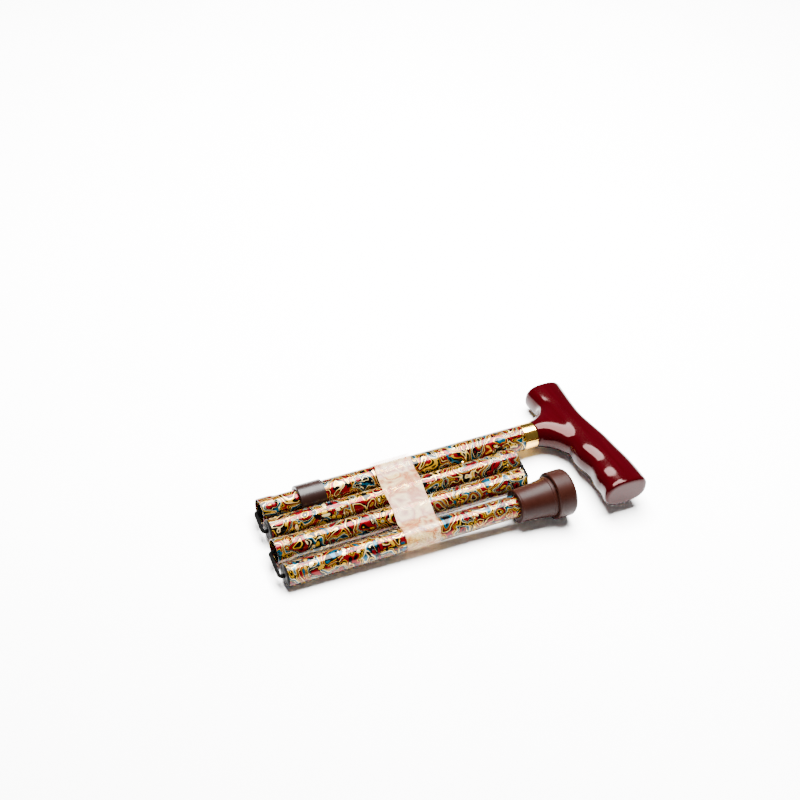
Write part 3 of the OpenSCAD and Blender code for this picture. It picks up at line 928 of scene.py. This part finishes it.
def band_path(grow):
    """Outline of the band in (y, z): wide enough to pass the collar and sagging between the tubes."""
    near = UPPER_R + BAND_EASE + grow
    far = TUBE_R + BAND_EASE + grow
    wide = BAND_WIDE + grow
    first_y, middle_z = UPPER_LINE
    last_y = LINES[4][0]
    span = first_y - last_y
    start = []
    end = []
    for k in range(ARC_STEPS + 1):
        turn = math.pi / 2 - math.pi * k / ARC_STEPS
        start.append((first_y + wide * math.cos(turn), middle_z - wide * math.sin(turn)))
        turn = math.pi / 2 + math.pi * k / ARC_STEPS
        end.append((last_y + far * math.cos(turn), middle_z + far * math.sin(turn)))
    run = []
    for k in range(1, RUN_STEPS):
        t = k / RUN_STEPS
        dip = BAND_SAG * (0.5 - 0.5 * math.cos(2 * math.pi * VALLEYS * t))
        room = (wide - near) * (1 - eased(min(1.0, VALLEYS * t)))
        y = first_y - span * t
        height = near + (far - near) * eased(t) + room - dip
        run.append((y, soft_max(height, drawn_clear(y, near), BAND_SOFT)))
    top = [(y, middle_z + height) for y, height in run]
    bottom = [(y, middle_z - height) for y, height in reversed(run)]
    return start + top + end + bottom


def band_row(path, t, low, high):
    """The points of the band's outline at a share t of its width, with wavy edges and lying askew."""
    row = []
    for k, (y, z) in enumerate(path):
        wave = WAVE_DEPTH * math.sin(2 * math.pi * WAVES * k / len(path)) * (2 * t - 1)
        skew = BAND_SKEW * (2 * (y - LINES[4][0]) / (UPPER_LINE[0] - LINES[4][0]) - 1)
        if skew < 0:
            skew *= BAND_TRIM + (1 - BAND_TRIM) * t
        row.append((low + (high - low) * t + wave + skew, y, z))
    return row


def make_band():
    """A loop of soft sheet on the holder, shaped so that it would clear the upper tube if drawn together
    round it.
    """
    low, high = reach("holder_band")
    shares = [j / BAND_COLUMNS for j in range(BAND_COLUMNS + 1)]
    inner = band_path(0.0)
    outer = band_path(BAND_WALL)
    rows = [band_row(outer, t, low, high) for t in shares]
    rows += [band_row(inner, t, low, high) for t in reversed(shares)]
    verts = [point for row in rows for point in row]
    band = mesh_object("frosted_band", verts, grid_faces(len(rows), len(inner), True))
    sharpen(band, BAND_SHARP)
    seat(band, "holder", "frosted_band", ["holder_band"], FROST)
    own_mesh(band)


# Nodes that keep their own shape

KEPT = {
    "handle_spigot": NYLON, "spigot_screw": STEEL,
    "thread_sleeve": NYLON, "compression_ring": NYLON, "slide_guide": NYLON,
    "cord_anchor": BLACK_MOULD, "cord_stop": BLACK_MOULD, "ferrule_washer": STEEL,
    "cord_in_slider": BRAID, "cord_in_2": BRAID, "cord_in_3": BRAID, "cord_in_4": BRAID,
}


def dress_kept():
    """Hidden nodes show their own shape in a fitting material."""
    for node, material in KEPT.items():
        dress(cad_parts[node], material)


# Stage

SOLE_INSET = 8 * MM
BACK_INSET = 6 * MM
TIP_ROOM = 0.9 * MM


def plane_through(points):
    """Height of the plane through three points, as start + x * slope_x + y * slope_y."""
    rows = [(1.0, x, y) for x, y, _ in points]
    return np.linalg.solve(np.array(rows), np.array([z for _, _, z in points]))


def contact(node, x):
    """The lowest point of a node at x, on its middle line."""
    low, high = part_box(node)
    return (x, (low[1] + high[1]) / 2, low[2])


def resting_planes():
    """The surface under the tubes and the one under the handle; they meet below the ferrule."""
    sole = contact("ferrule", reach("ferrule")[1] - SOLE_INSET)
    collar = contact("lock_collar", sum(reach("lock_collar")) / 2)
    tip = contact("tube_4", reach("tube_4")[0])
    low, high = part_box("handle")
    back = ((low[0] + high[0]) / 2, high[1] - BACK_INSET, low[2])
    tip_rest = (tip[0], tip[1], tip[2] - TIP_ROOM)
    return plane_through([sole, collar, tip_rest]), plane_through([sole, collar, back])


TUBE_REST, HANDLE_REST = resting_planes()
BLEND_FROM = 0.0
BLEND_TO = 0.11
NEAR_X = (-0.16, 0.17)
NEAR_Y = (-0.07, 0.07)
LONGER = 0.05
LEVEL_FROM = 0.13
LEVEL_OVER = 0.35
FLOOR_ROOM = 0.0004
FINE_REACH = 0.36
FINE_TICKS = 73
COARSE_TICKS = [-3.0, -2.0, -1.4, -1.0, -0.75, -0.55, -0.45]


def clamp(value, low, high):
    return min(max(value, low), high)


def plane_height(plane, x, y):
    return plane[0] + plane[1] * x + plane[2] * y


def floor_height(x, y):
    """A sheet of paper that gives a little under the cane and is level farther out."""
    near_x = clamp(x, *NEAR_X)
    near_y = clamp(y, *NEAR_Y)
    share = eased(clamp((near_x - BLEND_FROM) / (BLEND_TO - BLEND_FROM), 0.0, 1.0))
    height = plane_height(TUBE_REST, near_x, near_y) * (1 - share)
    height += plane_height(HANDLE_REST, near_x, near_y) * share
    away = clamp((max(abs(x) - LONGER, abs(y)) - LEVEL_FROM) / LEVEL_OVER, 0.0, 1.0)
    return height * (1 - eased(away)) - FLOOR_ROOM


def floor_ticks():
    """Grid lines of the floor, close together under the cane."""
    fine = list(np.linspace(-FINE_REACH, FINE_REACH, FINE_TICKS))
    return COARSE_TICKS + fine + [-t for t in reversed(COARSE_TICKS)]


PAPER_STOPS = [(0.3, (0.93, 0.925, 0.92)), (0.7, (0.96, 0.955, 0.95))]


def make_floor():
    """White paper under the cane."""
    ticks = floor_ticks()
    count = len(ticks)
    verts = [(x, y, floor_height(x, y)) for y in ticks for x in ticks]
    faces = []
    for j in range(count - 1):
        for i in range(count - 1):
            a = j * count + i
            faces.append((a, a + 1, a + count + 1, a + count))
    floor = mesh_object("studio_floor", verts, faces)
    look = Look("studio_paper")
    clouds = look.noise(scale=6.0, detail=2.0)
    look.colour(look.ramp(clouds.outputs["Fac"], PAPER_STOPS))
    look.roughness(look.span(clouds.outputs["Fac"], low=0.85, high=0.95))
    dress(floor, look.material)


SKY = (1.0, 0.985, 0.97, 1.0)
SKY_STRENGTH = 0.2
LIGHT_AT = (0.20, 0.34, 1.25)
LIGHT_SIZE = (1.0, 1.06)
LIGHT_POWER = 335.0


def make_light():
    """A pale surround and one large light overhead, which shines straight down."""
    world = bpy.data.worlds.new("studio")
    world.use_nodes = True
    backdrop = world.node_tree.nodes["Background"]
    backdrop.inputs["Color"].default_value = SKY
    backdrop.inputs["Strength"].default_value = SKY_STRENGTH
    SCENE.world = world
    data = bpy.data.lights.new("overhead", "AREA")
    data.shape = "RECTANGLE"
    data.size, data.size_y = LIGHT_SIZE
    data.energy = LIGHT_POWER
    light = bpy.data.objects.new("overhead", data)
    light.location = LIGHT_AT
    light.rotation_euler = Vector((0, 0, -1)).to_track_quat("-Z", "Y").to_euler()
    SCENE.collection.objects.link(light)


def make_camera():
    """A camera at the photo's viewing angle."""
    data = bpy.data.cameras.new("photo_camera")
    data.sensor_width = SENSOR_WIDTH
    data.lens = LENS
    camera = bpy.data.objects.new("photo_camera", data)
    SCENE.collection.objects.link(camera)
    mouth = Vector((reach("inner_tube")[0], *UPPER_LINE))
    eye = mouth + Vector(CAMERA_AT)
    ahead = (mouth + Vector(LOOK_AT) - eye).normalized()
    side = ahead.cross(Vector((0, 0, 1))).normalized()
    above = side.cross(ahead)
    roll = math.radians(CAMERA_ROLL)
    right = side * math.cos(roll) + above * math.sin(roll)
    up = above * math.cos(roll) - side * math.sin(roll)
    turn = Matrix((right, up, -ahead)).transposed().to_4x4()
    camera.matrix_world = Matrix.Translation(eye) @ turn
    SCENE.camera = camera


make_camera()
make_loops()
make_tubes()
make_handle()
make_ring()
make_collar()
make_button()
make_spring()
make_plugs()
make_ferrule()
make_band()
dress_kept()
make_floor()
make_light()
